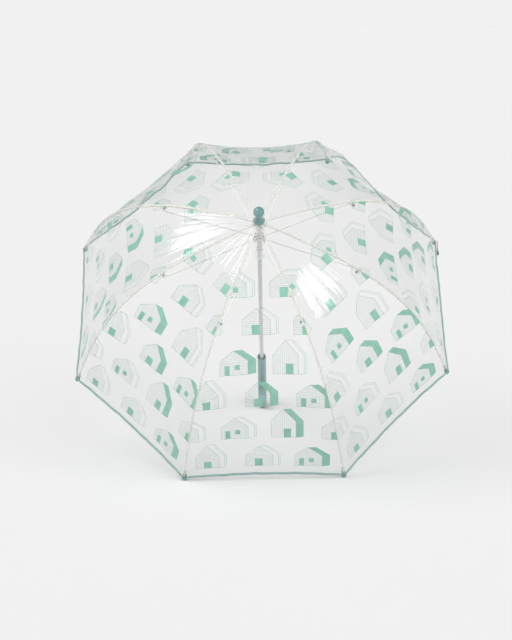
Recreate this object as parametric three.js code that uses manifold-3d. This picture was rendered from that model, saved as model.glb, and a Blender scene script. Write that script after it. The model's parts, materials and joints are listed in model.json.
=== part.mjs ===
// Child's clear bubble umbrella, fully open and lying on the floor on two rib tips and its crook.
// Inside the umbrella group the shaft is the Z axis, the crown is at the origin and -Y is the front.
// Units are millimetres and degrees.
import * as THREE from 'three';
import { mergeVertices } from 'three/addons/utils/BufferGeometryUtils.js';
import Module from 'manifold-3d';

// ---- driving dimensions ----
const ribCount = 8;
const ribArc = 480;              // along one rib, crown to tip ball
const slopeCrown = 11.6;         // rib's fall below the horizontal at the crown
const slopeRim = 68.3;           // and at the rim
const slopeSkew = 1.05;          // moves the dome's bend a little towards the rim
const ribRadius = 1.4;
const pivotRadius = 8;           // circle of the ribs' pivots in the crown
const pivotDepth = 4.6;
const filmThickness = 0.6;
const filmLift = [2.6, 3.4];     // film above the rib's centre line, at the crown and the rim
const filmStart = 6;
const filmEnd = 474;
const filmSag = 9;               // how far a panel sinks between its ribs, half way down
const hemSag = 3;
const hemScallop = 4;            // the hem's middle is this much nearer the crown
const hemEnd = 478.6;
const hemThickness = 2.2;
const shaftRadius = 3.7;
const shaftBore = 3.0;
const shaftTop = 11;
const shaftBottom = -525;
const finialRing = 9.15;
const finialBall = 8.85;
const finialBallHeight = 26.5;
const runnerHinge = { radius: 7.4, depth: 46 };
const runnerTop = -40;
const runnerBottom = -102;
const runnerTravel = 247;
const jointArc = 177.6;          // where a stretcher meets its rib
const jointDrop = 5;             // the joint's pin below the rib's centre line
const stretcherSide = 5;         // a stretcher's outer end runs beside its rib
const stretcherThick = 1.8;
const tipBall = 4.4;
const wireHole = 0.95;           // bore of the eyes that turn on a wire ring
const crownTop = -2.05;
const crownBottom = -12;
const crownRadius = 11.5;
const handleRadius = 8.3;
const handleTop = -465;
const handleStraight = 110;
const crookRadius = 22;
const crookEnd = 8;
const wireRadius = 0.5;
const wireGroove = 0.9;          // half the width and depth of a ring's groove
const gap = 0.3;

const halfPitch = Math.PI / ribCount;
const rad = THREE.MathUtils.degToRad;

// ---- materials ----
const material = (color, roughness, metalness = 0, opacity = 1) => new THREE.MeshStandardMaterial({
  color, roughness, metalness, opacity, transparent: opacity < 1,
});
const film = material(0xf0f3f2, 0.08, 0, 0.3);
const tealPlastic = material(0x7f9f9f, 0.35);
const hemTape = material(0x93b2ac, 0.45);
const fibreglass = material(0xe9e9df, 0.5);
const whitePlastic = material(0xe6e8e8, 0.4);
const steel = material(0xcacbcb, 0.3, 0.9);
const darkMetal = material(0x26332f, 0.35, 0.6);

// ---- solids ----
const wasm = await Module();
wasm.setup();

function toSolid(geometry) {
  const bare = geometry.clone();
  bare.deleteAttribute('normal');
  bare.deleteAttribute('uv');
  const merged = mergeVertices(bare, 1e-4);
  return new wasm.Manifold(new wasm.Mesh({
    numProp: 3,
    vertProperties: new Float32Array(merged.attributes.position.array),
    triVerts: new Uint32Array(merged.index.array),
  }));
}

function toGeometry(solid) {
  const mesh = solid.getMesh();
  const geometry = new THREE.BufferGeometry();
  geometry.setAttribute('position', new THREE.BufferAttribute(new Float32Array(mesh.vertProperties), 3));
  geometry.setIndex(new THREE.BufferAttribute(new Uint32Array(mesh.triVerts), 1));
  geometry.computeVertexNormals();
  return geometry;
}

const joined = (...geometries) => toGeometry(geometries.map(toSolid).reduce((all, one) => all.add(one)));
const cut = (geometry, ...tools) => toGeometry(
  tools.map(toSolid).reduce((rest, tool) => rest.subtract(tool), toSolid(geometry)));

function box(x, y, z) {          // each argument is [low, high]
  const size = [x, y, z].map(([low, high]) => high - low);
  const centre = [x, y, z].map(([low, high]) => (high + low) / 2);
  return new THREE.BoxGeometry(...size).translate(...centre);
}

// A turned solid about Z. The outline is a list of [radius, z], closed on itself or ending on the axis.
function turned(outline, sides = 24) {
  const points = outline.map(([r, z]) => new THREE.Vector2(r, z));
  return new THREE.LatheGeometry(points, sides).rotateX(Math.PI / 2);
}

// A ring of rectangular section about Z.
const ring = ([inner, outer], [low, high], sides = 24) => turned(
  [[inner, low], [outer, low], [outer, high], [inner, high], [inner, low]], sides);

function wireRing(radius, z) {
  return new THREE.TorusGeometry(radius, wireRadius, 6, 32).translate(0, 0, z);
}

function circle(radius, sides) {
  const points = [];
  for (let i = 0; i < sides; i += 1) {
    const angle = (i + 0.5) * 2 * Math.PI / sides;
    points.push(new THREE.Vector2(radius * Math.cos(angle), radius * Math.sin(angle)));
  }
  return new THREE.Shape(points);
}

function swept(curve, radius, sides, steps) {
  return new THREE.ExtrudeGeometry(circle(radius, sides), { steps, extrudePath: curve });
}

function add(parent, name, geometry, finish) {
  const mesh = new THREE.Mesh(geometry, finish);
  mesh.name = name;
  parent.add(mesh);
  return mesh;
}

// ---- the dome's profile ----
// The rib's slope grows from crown to rim by a smootherstep of the arc, and adding it up gives the rib.
const stations = 240;
const profile = [{ r: 0, z: 0 }];
const slopeAt = (share) => rad(THREE.MathUtils.lerp(
  slopeCrown, slopeRim, THREE.MathUtils.smootherstep(share ** slopeSkew, 0, 1)));
for (let i = 0; i < stations; i += 1) {
  const slope = slopeAt((i + 0.5) / stations);
  const step = ribArc / stations;
  const last = profile[i];
  profile.push({ r: last.r + step * Math.cos(slope), z: last.z - step * Math.sin(slope) });
}

// The point of the profile at an arc length, moved outwards along the dome's normal by lift.
function profileAt(arc, lift = 0) {
  const place = Math.min(Math.max(arc / ribArc, 0), 1) * stations;
  const i = Math.min(Math.floor(place), stations - 1);
  const slope = slopeAt(arc / ribArc);
  return {
    r: THREE.MathUtils.lerp(profile[i].r, profile[i + 1].r, place - i) + lift * Math.sin(slope),
    z: THREE.MathUtils.lerp(profile[i].z, profile[i + 1].z, place - i) + lift * Math.cos(slope),
    slope,
  };
}

// The rib's centre line: the profile, eased down to the pivot circle near the crown.
class RibLine extends THREE.Curve {
  constructor(from, to) {
    super();
    this.from = from;
    this.to = to;
  }

  getPoint(t, target = new THREE.Vector3()) {
    const arc = THREE.MathUtils.lerp(this.from, this.to, t);
    const point = profileAt(arc);
    const drop = pivotDepth + profileAt(pivotRadius).z;
    const ease = 1 - THREE.MathUtils.smoothstep(arc, pivotRadius, 45);
    return target.set(point.r, 0, point.z - drop * ease);
  }
}

// A point of a panel's middle surface. across runs from -1 at one rib to 1 at the next,
// X points out through the panel's middle, and lift moves the point outwards.
function panelPoint(arc, across, lift, edge) {
  const share = arc / ribArc;
  const middle = 1 - across * across;
  const onRib = profileAt(arc - hemScallop * share * middle, lift + THREE.MathUtils.lerp(...filmLift, share));
  const sag = (filmSag * Math.sin(Math.PI * share) + hemSag * share * share) * middle;
  const half = onRib.r * Math.sin(halfPitch) - edge;
  return new THREE.Vector3(
    onRib.r * Math.cos(halfPitch) - sag * Math.sin(onRib.slope),
    across * half,
    onRib.z - sag * Math.cos(onRib.slope),
  );
}

// A closed sheet over a grid of arcs by crossings, with its outer and inner faces a thickness apart.
function sheet([arcFrom, arcTo, rows], columns, thickness, edge) {
  const positions = [];
  const index = [];
  const layer = (rows + 1) * (columns + 1);
  for (const lift of [thickness / 2, -thickness / 2]) {
    for (let i = 0; i <= rows; i += 1) {
      for (let j = 0; j <= columns; j += 1) {
        const arc = THREE.MathUtils.lerp(arcFrom, arcTo, i / rows);
        positions.push(...panelPoint(arc, 2 * j / columns - 1, lift, edge).toArray());
      }
    }
  }
  const at = (side, i, j) => side * layer + i * (columns + 1) + j;
  const quad = (a, b, c, d) => index.push(a, b, c, a, c, d);
  for (let i = 0; i < rows; i += 1) {
    for (let j = 0; j < columns; j += 1) {
      quad(at(0, i, j), at(0, i + 1, j), at(0, i + 1, j + 1), at(0, i, j + 1));
      quad(at(1, i, j), at(1, i, j + 1), at(1, i + 1, j + 1), at(1, i + 1, j));
    }
  }
  for (let j = 0; j < columns; j += 1) {
    quad(at(0, 0, j), at(0, 0, j + 1), at(1, 0, j + 1), at(1, 0, j));
    quad(at(0, rows, j + 1), at(0, rows, j), at(1, rows, j), at(1, rows, j + 1));
  }
  for (let i = 0; i < rows; i += 1) {
    quad(at(0, i + 1, 0), at(0, i, 0), at(1, i, 0), at(1, i + 1, 0));
    quad(at(0, i, columns), at(0, i + 1, columns), at(1, i + 1, columns), at(1, i, columns));
  }
  const geometry = new THREE.BufferGeometry();
  geometry.setAttribute('position', new THREE.Float32BufferAttribute(positions, 3));
  geometry.setIndex(index);
  geometry.computeVertexNormals();
  return geometry;
}

// ---- canopy ----
function addPanel(umbrella, number) {
  const place = new THREE.Group();
  place.rotation.z = 2 * halfPitch * (number - 1) - Math.PI / 2;
  umbrella.add(place);
  add(place, `panel_${number}`, sheet([filmStart, filmEnd, 16], 6, filmThickness, gap / 2), film);
  add(place, `hem_${number}`, sheet([filmEnd + gap, hemEnd, 1], 6, hemThickness, tipBall), hemTape);
}

// ---- ribs and their tips ----
function ribGeometry() {
  const eyeRadius = 2.2;
  const rodStart = pivotRadius + wireHole + 0.35;
  const rod = swept(new RibLine(rodStart, ribArc - tipBall - 1), ribRadius, 6, 24);
  const eye = new THREE.CylinderGeometry(eyeRadius, eyeRadius, eyeRadius, 10);
  const hole = new THREE.CylinderGeometry(wireHole, wireHole, 4 * eyeRadius, 6);
  for (const part of [eye, hole]) part.translate(pivotRadius, 0, -pivotDepth);
  return cut(joined(rod, eye), hole);
}

// A ball on a socket. Z points out of the rib's end, with the ball's centre at the origin.
function tipGeometry() {
  const socket = { radius: 2.7, bore: 1.75, length: 14, bottom: -tipBall - 0.6 };
  const from = Math.asin(socket.radius / tipBall);
  const outline = [[0, socket.bottom], [socket.bore, socket.bottom], [socket.bore, -socket.length]];
  outline.push([socket.radius, -socket.length]);
  for (let i = 0; i <= 6; i += 1) {
    const angle = THREE.MathUtils.lerp(from, Math.PI, i / 6);
    outline.push([i === 6 ? 0 : tipBall * Math.sin(angle), -tipBall * Math.cos(angle)]);
  }
  return turned(outline, 10);
}

// The cradle crimped under a rib, with the pin that a stretcher turns on. X runs along the rib.
function jointGeometry() {
  const halfLength = 4.5;
  const halfWidth = 2.9;
  const pinRadius = 1;
  const pinEnd = 3.05;           // short enough for the stretcher to pass it as the frame folds
  const block = box([-halfLength, halfLength], [-halfWidth, halfWidth], [-jointDrop - 2 * pinRadius, 1]);
  const holeRadius = 1.5 * ribRadius;
  const ribHole = new THREE.CylinderGeometry(holeRadius, holeRadius, 3 * halfLength, 10).rotateZ(Math.PI / 2);
  const pin = new THREE.CylinderGeometry(pinRadius, pinRadius, pinEnd, 8);
  pin.translate(0, pinEnd / 2, -jointDrop);
  return cut(joined(block, pin), ribHole);
}

function addRib(umbrella, number) {
  const place = new THREE.Group();
  place.rotation.z = halfPitch * (2 * number - 3) - Math.PI / 2;
  umbrella.add(place);
  add(place, `rib_${number}`, ribGeometry(), fibreglass);
  const end = profileAt(ribArc);
  const tip = add(place, `tip_${number}`, tipGeometry(), tealPlastic);
  tip.position.set(end.r, 0, end.z);
  tip.rotation.y = Math.PI / 2 + end.slope;
  const seat = profileAt(jointArc);
  const joint = add(place, `rib_joint_${number}`, jointGeometry(), steel);
  joint.position.set(seat.r, 0, seat.z);
  joint.rotation.y = seat.slope;
  add(place, `stretcher_${number}`, stretcherGeometry(), fibreglass);
}

// ---- stretchers ----
// A flat link from the runner's wire to the pin under the rib. Its outer end leans sideways.
function stretcherGeometry() {
  const seat = profileAt(jointArc, -jointDrop);
  const reach = new THREE.Vector2(seat.r - runnerHinge.radius, seat.z + runnerHinge.depth);
  const length = reach.length();
  const eye = 2.1;
  const halfWidth = 1.4;
  const bend = Math.asin(halfWidth / eye);
  const outline = new THREE.Shape();
  outline.absarc(0, 0, eye, bend, 2 * Math.PI - bend, false);
  outline.absarc(length, 0, eye, -Math.PI + bend, Math.PI - bend, false);
  const hole = new THREE.Path().absarc(0, 0, wireHole, 0, 2 * Math.PI, true);
  outline.holes.push(hole);
  const link = new THREE.ExtrudeGeometry(outline, {
    depth: stretcherThick, bevelEnabled: false, curveSegments: 5,
  });
  link.translate(0, 0, -stretcherThick / 2).rotateX(Math.PI / 2);
  link.applyMatrix4(new THREE.Matrix4().makeShear(stretcherSide / length, 0, 0, 0, 0, 0));
  link.rotateY(-reach.angle());
  return link.translate(runnerHinge.radius, 0, -runnerHinge.depth);
}

// ---- shaft, crown and runner ----
// Slots for the ribs or stretchers: one box for each, from inner outwards.
function radialSlots(width, inner, outer, [low, high]) {
  const slots = [];
  for (let i = 0; i < ribCount; i += 1) {
    slots.push(box([inner, outer], [-width / 2, width / 2], [low, high]).rotateZ(halfPitch * (2 * i + 1)));
  }
  return slots;
}

const topCatch = runnerBottom - 2 * gap;             // each catch's upper face
const bottomCatch = topCatch - runnerTravel;
const catchSize = { length: 10, width: 1.8, out: 2.3, step: 2, root: 0.2 };

function addShaft(umbrella) {
  const tube = ring([shaftBore, shaftRadius], [shaftBottom, shaftTop]);
  const side = catchSize.width / 2 + gap;
  const windows = [topCatch, bottomCatch].map((top) => box(
    [-side, side], [shaftBore / 3, shaftRadius + 1], [top - catchSize.length - gap, top + gap]));
  add(umbrella, 'shaft', cut(tube, ...windows), steel);
  for (const [name, top] of [['top_catch', topCatch], ['bottom_catch', bottomCatch]]) {
    add(umbrella, name, catchGeometry(top), steel);
  }
}

// A sprung wedge that stands out of the shaft: square above, sloped below. Its root leaves room in the
// shaft's bore for the catch to be pressed in flush.
function catchGeometry(top) {
  const { length, width, step, root } = catchSize;
  const out = shaftRadius + catchSize.out;
  const outline = new THREE.Shape([
    [root, top], [out, top], [out, top - step], [shaftRadius, top - length], [root, top - length],
  ].map(([y, z]) => new THREE.Vector2(y, z)));
  const wedge = new THREE.ExtrudeGeometry(outline, { depth: width, bevelEnabled: false });
  return wedge.translate(0, 0, -width / 2).rotateY(Math.PI / 2).rotateX(Math.PI / 2);
}

function addCrown(umbrella) {
  const bore = shaftRadius + gap;
  const washerBottom = crownTop + gap;
  const washer = ring([bore + 0.2, crownRadius - 1], [washerBottom, washerBottom + 0.8]);
  add(umbrella, 'crown_washer', washer, whitePlastic);
  const slotWidth = 3.4;
  const slotInner = 5.7;
  const notch = cut(
    ring([bore, crownRadius], [crownBottom, crownTop]),
    ring([pivotRadius - wireGroove, pivotRadius + wireGroove], [-pivotDepth - wireGroove, crownTop + 1]),
    ...radialSlots(slotWidth, slotInner, crownRadius + 2.5, [crownBottom - 1, crownTop + 1]),
  );
  add(umbrella, 'crown_notch', notch, whitePlastic);
  add(umbrella, 'crown_wire', wireRing(pivotRadius, -pivotDepth), steel);
}

// The knob above the canopy: a flared foot, a waist and a ball, with a socket for the shaft.
function addFinial(umbrella) {
  const foot = filmLift[0] - 0.5;
  const waist = 6;
  const waistLength = 9;
  const ringTop = foot + 3.4;
  const shoulder = finialRing - 0.35;
  const socket = shaftRadius + gap;
  const outline = [[0, shaftTop + gap], [socket, shaftTop + gap], [socket, foot], [shoulder - 1, foot]];
  outline.push([shoulder, foot + 0.8], [finialRing, foot + 2], [shoulder, ringTop]);
  const start = Math.PI - Math.asin((waist + 0.6) / finialBall);
  for (const share of [0.25, 0.5, 0.75]) {
    outline.push([THREE.MathUtils.lerp(shoulder, waist, share ** 0.6), ringTop + waistLength * share]);
  }
  for (let i = 0; i <= 9; i += 1) {
    const angle = start * (1 - i / 9);
    outline.push([i === 9 ? 0 : finialBall * Math.sin(angle), finialBallHeight + finialBall * Math.cos(angle)]);
  }
  add(umbrella, 'finial', turned(outline, 20), tealPlastic);
}

// The runner, from its slotted head down through a cone and a neck to the flange that is pushed.
function addRunner(umbrella) {
  const bore = shaftRadius + 0.4;
  const head = { radius: 10, length: 16 };
  const neck = { radius: 5.2, top: runnerTop - 26, bottom: runnerTop - 42 };
  const flange = { radius: 8.2, height: 4 };
  const { radius, depth } = runnerHinge;
  const body = turned([
    [bore, runnerBottom], [flange.radius, runnerBottom], [flange.radius, runnerBottom + flange.height],
    [neck.radius + 1.2, neck.bottom - 2], [neck.radius, neck.bottom], [neck.radius, neck.top],
    [head.radius - 1.6, runnerTop - head.length - 4], [head.radius, runnerTop - head.length],
    [head.radius, runnerTop], [bore, runnerTop], [bore, runnerBottom],
  ]);
  const catchWay = { halfWidth: catchSize.width / 2 + 0.4, reach: shaftRadius + catchSize.out + 0.5 };
  const slotWidth = stretcherThick + 0.8;
  const runner = cut(
    body,
    ring([radius - wireGroove, radius + wireGroove], [-depth - wireGroove, runnerTop + 1]),
    box([-catchWay.halfWidth, catchWay.halfWidth], [0, catchWay.reach], [runnerBottom - 1, runnerTop + 1]),
    ...radialSlots(slotWidth, neck.radius, head.radius + 4, [-depth - 6, runnerTop + 1]),
  );
  add(umbrella, 'runner', runner, whitePlastic);
  add(umbrella, 'runner_wire', wireRing(radius, -depth), steel);
}

// ---- handle ----
// Down the straight grip, round a half circle towards the front, and a little way back up.
class CrookLine extends THREE.Curve {
  getPoint(t, target = new THREE.Vector3()) {
    const bend = Math.PI * crookRadius;
    const way = t * (handleStraight + bend + crookEnd);
    const low = handleTop - handleStraight;
    if (way < handleStraight) return target.set(0, 0, handleTop - way);
    if (way > handleStraight + bend) {
      return target.set(0, -2 * crookRadius, low + way - handleStraight - bend);
    }
    const angle = (way - handleStraight) / crookRadius;
    return target.set(0, -crookRadius * (1 - Math.cos(angle)), low - crookRadius * Math.sin(angle));
  }
}

function addHandle(umbrella) {
  const grip = swept(new CrookLine(), handleRadius, 14, 30);
  const end = new THREE.SphereGeometry(handleRadius, 14, 7)
    .rotateX(Math.PI / 2)
    .translate(0, -2 * crookRadius, handleTop - handleStraight + crookEnd);
  const bore = shaftRadius + gap;
  const mouth = 6.2;             // a shallow recess round the shaft
  const socket = turned([
    [0, shaftBottom - gap], [bore, shaftBottom - gap], [bore, handleTop - 4],
    [mouth, handleTop - 2.5], [mouth, handleTop + 1], [0, handleTop + 1],
  ]);
  add(umbrella, 'handle', cut(joined(grip, end), socket), tealPlastic);
}

// ---- closing strap ----
// A short tab that hangs straight down from the hem beside the fourth rib, with a snap at its end.
function addStrap(umbrella, lean) {
  const length = 28;
  const width = 9;
  const thickness = 0.8;
  const snapSize = { radius: 3.4, height: 1.4 };
  const end = profileAt(ribArc, tipBall + 3.1);
  const azimuth = halfPitch;
  const hang = new THREE.Group();
  hang.position.set(end.r * Math.cos(azimuth), end.r * Math.sin(azimuth), end.z);
  hang.rotation.x = -lean;
  umbrella.add(hang);
  const outline = new THREE.Shape();
  outline.moveTo(-width / 2, 0);
  outline.absarc(0, width / 2 - length, width / 2, Math.PI, 2 * Math.PI, false);
  outline.lineTo(width / 2, 0);
  const tab = new THREE.ExtrudeGeometry(outline, { depth: thickness, bevelEnabled: false, curveSegments: 6 });
  tab.translate(0, 0, -thickness / 2).rotateX(Math.PI / 2).rotateZ(Math.PI / 2);
  add(hang, 'closure_strap', tab, hemTape);
  const snap = new THREE.CylinderGeometry(snapSize.radius, snapSize.radius, snapSize.height, 14);
  snap.rotateZ(Math.PI / 2).translate((thickness + snapSize.height) / 2 + gap, 0, width / 2 - length);
  add(hang, 'strap_snap', snap, darkMetal);
}

// ---- assembly ----
// The floor touches the front tips' balls and the crook's outside. Seen from the side, both are
// circles, and the angle of their common tangent is the angle of the shaft above the floor.
function restAngle() {
  const tip = { y: -profileAt(ribArc).r * Math.cos(halfPitch), z: profileAt(ribArc).z, radius: tipBall };
  const crook = { y: -crookRadius, z: handleTop - handleStraight, radius: crookRadius + handleRadius };
  const apart = Math.hypot(tip.y - crook.y, tip.z - crook.z);
  const toTip = Math.atan2(tip.z - crook.z, tip.y - crook.y);
  return toTip - Math.acos((tip.radius - crook.radius) / apart);
}

const umbrella = new THREE.Group();
const shaftAngle = restAngle();
umbrella.rotation.x = Math.PI / 2 - shaftAngle;
addShaft(umbrella);
addCrown(umbrella);
addFinial(umbrella);
addRunner(umbrella);
addHandle(umbrella);
for (let number = 1; number <= ribCount; number += 1) {
  addRib(umbrella, number);
  addPanel(umbrella, number);
}
addStrap(umbrella, umbrella.rotation.x);

// The origin is on the floor, under the middle of the lying umbrella.
const group = new THREE.Group();
group.add(umbrella);
const extent = new THREE.Box3().setFromObject(group, true);
const centre = extent.getCenter(new THREE.Vector3());
umbrella.position.set(-centre.x, -centre.y, -extent.min.z);

export default group;
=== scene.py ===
# Clear bubble umbrella for a child, open and lying on the floor on two rib tips and its crook.
# Shapes are worked out in millimetres in the umbrella's own frame, with the shaft along Z, the crown
# at the origin and -Y the front, and toRow() takes them into the row frame in metres.
import json
import math
import bmesh
import bpy
import numpy as np
from mathutils import Matrix, Vector


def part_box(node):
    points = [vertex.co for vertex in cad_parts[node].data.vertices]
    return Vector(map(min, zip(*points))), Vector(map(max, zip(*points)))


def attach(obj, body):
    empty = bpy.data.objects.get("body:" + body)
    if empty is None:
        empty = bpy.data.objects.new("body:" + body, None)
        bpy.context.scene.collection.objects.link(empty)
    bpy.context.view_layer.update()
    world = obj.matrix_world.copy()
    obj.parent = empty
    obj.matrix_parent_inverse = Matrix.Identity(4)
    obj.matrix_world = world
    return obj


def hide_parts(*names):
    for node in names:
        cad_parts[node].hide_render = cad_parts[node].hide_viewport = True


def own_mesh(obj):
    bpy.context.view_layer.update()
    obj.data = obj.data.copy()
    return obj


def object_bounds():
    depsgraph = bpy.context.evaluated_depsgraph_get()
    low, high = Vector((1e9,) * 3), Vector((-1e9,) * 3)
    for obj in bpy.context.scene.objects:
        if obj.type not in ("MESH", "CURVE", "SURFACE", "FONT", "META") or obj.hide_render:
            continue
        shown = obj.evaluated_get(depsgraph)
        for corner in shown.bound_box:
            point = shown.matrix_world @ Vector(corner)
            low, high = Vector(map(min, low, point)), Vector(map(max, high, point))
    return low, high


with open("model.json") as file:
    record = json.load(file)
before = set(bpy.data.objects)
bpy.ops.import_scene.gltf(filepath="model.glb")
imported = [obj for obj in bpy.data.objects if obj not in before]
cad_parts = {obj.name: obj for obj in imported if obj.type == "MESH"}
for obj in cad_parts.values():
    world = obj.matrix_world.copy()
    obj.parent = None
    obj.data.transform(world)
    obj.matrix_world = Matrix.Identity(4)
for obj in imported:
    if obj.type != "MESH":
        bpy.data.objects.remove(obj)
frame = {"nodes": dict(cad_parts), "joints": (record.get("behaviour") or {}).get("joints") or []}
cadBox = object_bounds()
nodes = frame["nodes"]
scene = bpy.context.scene
print("frame loaded:", len(nodes), "nodes")

# The umbrella's own frame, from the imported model.
mm = 0.001
wireDepth = 4.6  # the crown's wire lies this far below the crown's origin
slide = next(joint for joint in frame["joints"] if joint["name"] == "runner_slide")
upShaft = -np.array(slide["axis"], float) / np.linalg.norm(slide["axis"])
sideways = np.array([1.0, 0.0, 0.0])
axes = np.array([sideways, np.cross(upShaft, sideways), upShaft])
wireBox = np.array([list(corner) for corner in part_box("crown_wire")])
crown = wireBox.mean(axis=0) + wireDepth * mm * upShaft


# Row frame = crown + x sideways + y across the shaft + z up the shaft.
def toRow(points):
    return crown + (np.asarray(points, float) * mm) @ axes


# The dome: one profile from crown to rim, shared by ribs, film, hem and print.
ribCount = 8
halfPitch = math.pi / ribCount
dome = {
    "ribArc": 480.0,  # along one rib, crown to tip ball
    "slopeCrown": 11.6,  # degrees below the horizontal
    "slopeRim": 68.3,
    "slopeSkew": 1.05,
    "liftCrown": 2.6,  # film above the rib's centre line
    "liftRim": 3.4,
    "sag": 9.0,  # how far a panel sinks between its ribs, half way down
    "sagArc": (15, 190),  # where it grows to that
    "hemSag": 3.0,
    "scallop": 4.0,  # the hem's middle is this much nearer the crown
}
stations = 2400
stationArc = np.linspace(0, dome["ribArc"], stations + 1)


# The slope grows from crown to rim by a smootherstep of the share of the arc.
def slopeAt(arc):
    share = np.clip(np.asarray(arc, float) / dome["ribArc"], 0, 1) ** dome["slopeSkew"]
    eased = share ** 3 * (share * (share * 6 - 15) + 10)
    return np.radians(dome["slopeCrown"] + (dome["slopeRim"] - dome["slopeCrown"]) * eased)


# Adding up the slope along the arc gives the profile's radius and height.
midSlope = slopeAt((stationArc[1:] + stationArc[:-1]) / 2)
stationStep = dome["ribArc"] / stations
stationRadius = np.concatenate([[0], np.cumsum(np.cos(midSlope)) * stationStep])
stationHeight = np.concatenate([[0], -np.cumsum(np.sin(midSlope)) * stationStep])


# Radius, height and slope of the profile at an arc, moved outwards along its normal by lift.
def profileAt(arc, lift=0.0):
    slope = slopeAt(arc)
    radius = np.interp(arc, stationArc, stationRadius) + lift * np.sin(slope)
    height = np.interp(arc, stationArc, stationHeight) + lift * np.cos(slope)
    return radius, height, slope


# low + (high - low) times the share.
def mix(low, high, share):
    return low + (high - low) * share


# Three times the share squared less twice its cube, with the share held between 0 and 1.
def smooth(low, high, value):
    share = np.clip((np.asarray(value, float) - low) / (high - low), 0, 1)
    return share * share * (3 - 2 * share)


# Panels stand at whole pitches from the front, and each panel's first rib half a pitch before it.
def panelTurn(number):
    return 2 * halfPitch * (number - 1) - math.pi / 2


def ribTurn(number):
    return halfPitch * (2 * number - 3) - math.pi / 2


# Turns points about the shaft: x cos - y sin, x sin + y cos.
def turned(points, angle):
    cosine, sine = math.cos(angle), math.sin(angle)
    x, y, z = points[..., 0], points[..., 1], points[..., 2]
    return np.stack([x * cosine - y * sine, x * sine + y * cosine, z], axis=-1)


# Pleats and ripples of the film, by panel number where a panel differs.
pleats = {
    "seed": 40,
    "waves": [3, 5, 7, 10, 13],  # half waves across half a panel
    "share": [0.8, 1.0, 1.0, 0.8, 0.6],
    "gentle": 1.8,  # all waves together are this much lower than alone
    "drift": (1.4, 120),  # most turn of a wave's phase, over this arc
    "skew": (0.7, 1.3),
    "steepCrown": 0.17,  # slope of the pleats beside the crown
    "steepBody": 0.030,  # and of the ripples lower down
    "steepRim": 0.016,
    "rimFolds": {4: 6.0, 5: 5.0, 6: 9.0},  # and how many times that on the loosest panels
    "fade": (45.0, 215.0, 0.6),  # arc where the crown's pleats end, from and to, and the curve's power
    "rimArc": (250, 420),  # where ripples turn into the rim's folds
    "nearRib": 0.22,  # share of the half width over which pleats die out at a rib
    "nearCrown": (4, 26),
    "tightness": {1: 0.75, 2: 1.25, 7: 1.35, 8: 1.5, 4: 0.4, 3: 0.4, 5: 0.6, 6: 0.4},
    "slack": {6: 0.35, 4: 0.6, 3: 0.6},  # share of the dome's sag
    "bulge": {4: (21.0, 0.72), 3: (2.5, 0.0), 5: (-5.0, 0.0), 6: (-4.0, 0.0)},  # rim pushed out, and where
    "bulgeArc": (330, 470),
}


# Height of the pleats: a sum of cosines across the panel, with an amplitude of slope times the
# half width over pi n, faded out at both ribs, at the crown and, down to ripples, on the dome's body.
# The rim's bulge is a beta curve across the panel: 0 at both ribs and 1 at its peak.
def pleatHeight(number, arc, across):
    draw = np.random.default_rng(pleats["seed"] + number)
    radius = np.interp(arc, stationArc, stationRadius)
    half = radius * math.sin(halfPitch)
    tight = pleats["tightness"].get(number, 1.0)
    folds = pleats["steepRim"] * pleats["rimFolds"].get(number, 1.0)
    body = mix(pleats["steepBody"], folds, smooth(*pleats["rimArc"], arc))
    fadeFrom, fadeTo, power = pleats["fade"]
    steep = mix(pleats["steepCrown"] * tight, body, smooth(fadeFrom, fadeTo, arc) ** power)
    height = np.zeros(np.broadcast(arc, across).shape)
    most, span = pleats["drift"]
    for count, share in zip(pleats["waves"], pleats["share"]):
        phase, drift = draw.uniform(0, 2 * math.pi), draw.uniform(-most, most)
        skew = draw.uniform(*pleats["skew"])
        wave = np.cos(math.pi * count * across * skew + phase + drift * arc / span)
        height += share * steep * half / (math.pi * count * pleats["gentle"]) * wave
    height *= smooth(0, pleats["nearRib"], 1 - np.abs(across)) * smooth(*pleats["nearCrown"], arc)
    bulge, peak = pleats["bulge"].get(number, (0.0, 0.0))
    rise = ((1 + across) / (1 + peak)) ** (2 * (1 + peak)) * ((1 - across) / (1 - peak)) ** (2 * (1 - peak))
    return height + bulge * smooth(*pleats["bulgeArc"], arc) * rise


# A point of a panel: the profile at the arc, carried across between two ribs, sunk by the sag and
# raised by the pleats. across runs from -1 at one rib to 1 at the next.
def filmPoint(number, arc, across, lift=0.0):
    share = arc / dome["ribArc"]
    middle = 1 - across ** 2
    base = mix(dome["liftCrown"], dome["liftRim"], share)
    radius, height, slope = profileAt(arc - dome["scallop"] * share * middle, lift + base)
    slack = pleats["slack"].get(number, 1.0) * smooth(*dome["sagArc"], arc)
    sag = (dome["sag"] * slack * np.sin(math.pi * share) + dome["hemSag"] * share ** 2) * middle
    sag = sag - pleatHeight(number, arc, across)
    half = radius * math.sin(halfPitch)
    points = np.stack([
        radius * math.cos(halfPitch) - sag * np.sin(slope),
        across * half,
        height - sag * np.cos(slope),
    ], axis=-1)
    return turned(points, panelTurn(number))


# Half the width between two ribs: the radius times the sine of half a pitch.
def halfWidth(arc):
    return np.interp(arc, stationArc, stationRadius) * math.sin(halfPitch)


# Quads over a grid of rows by columns, as corner numbers; a closed side joins its end to its start.
def gridFaces(rows, columns, closeColumns=False, start=0):
    across = columns if closeColumns else columns - 1
    i, j = np.meshgrid(np.arange(rows - 1), np.arange(across), indexing="ij")
    right = (j + 1) % columns
    quads = np.stack([i * columns + j, i * columns + right,
                      (i + 1) * columns + right, (i + 1) * columns + j], axis=-1)
    return quads.reshape(-1, 4) + start


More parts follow.
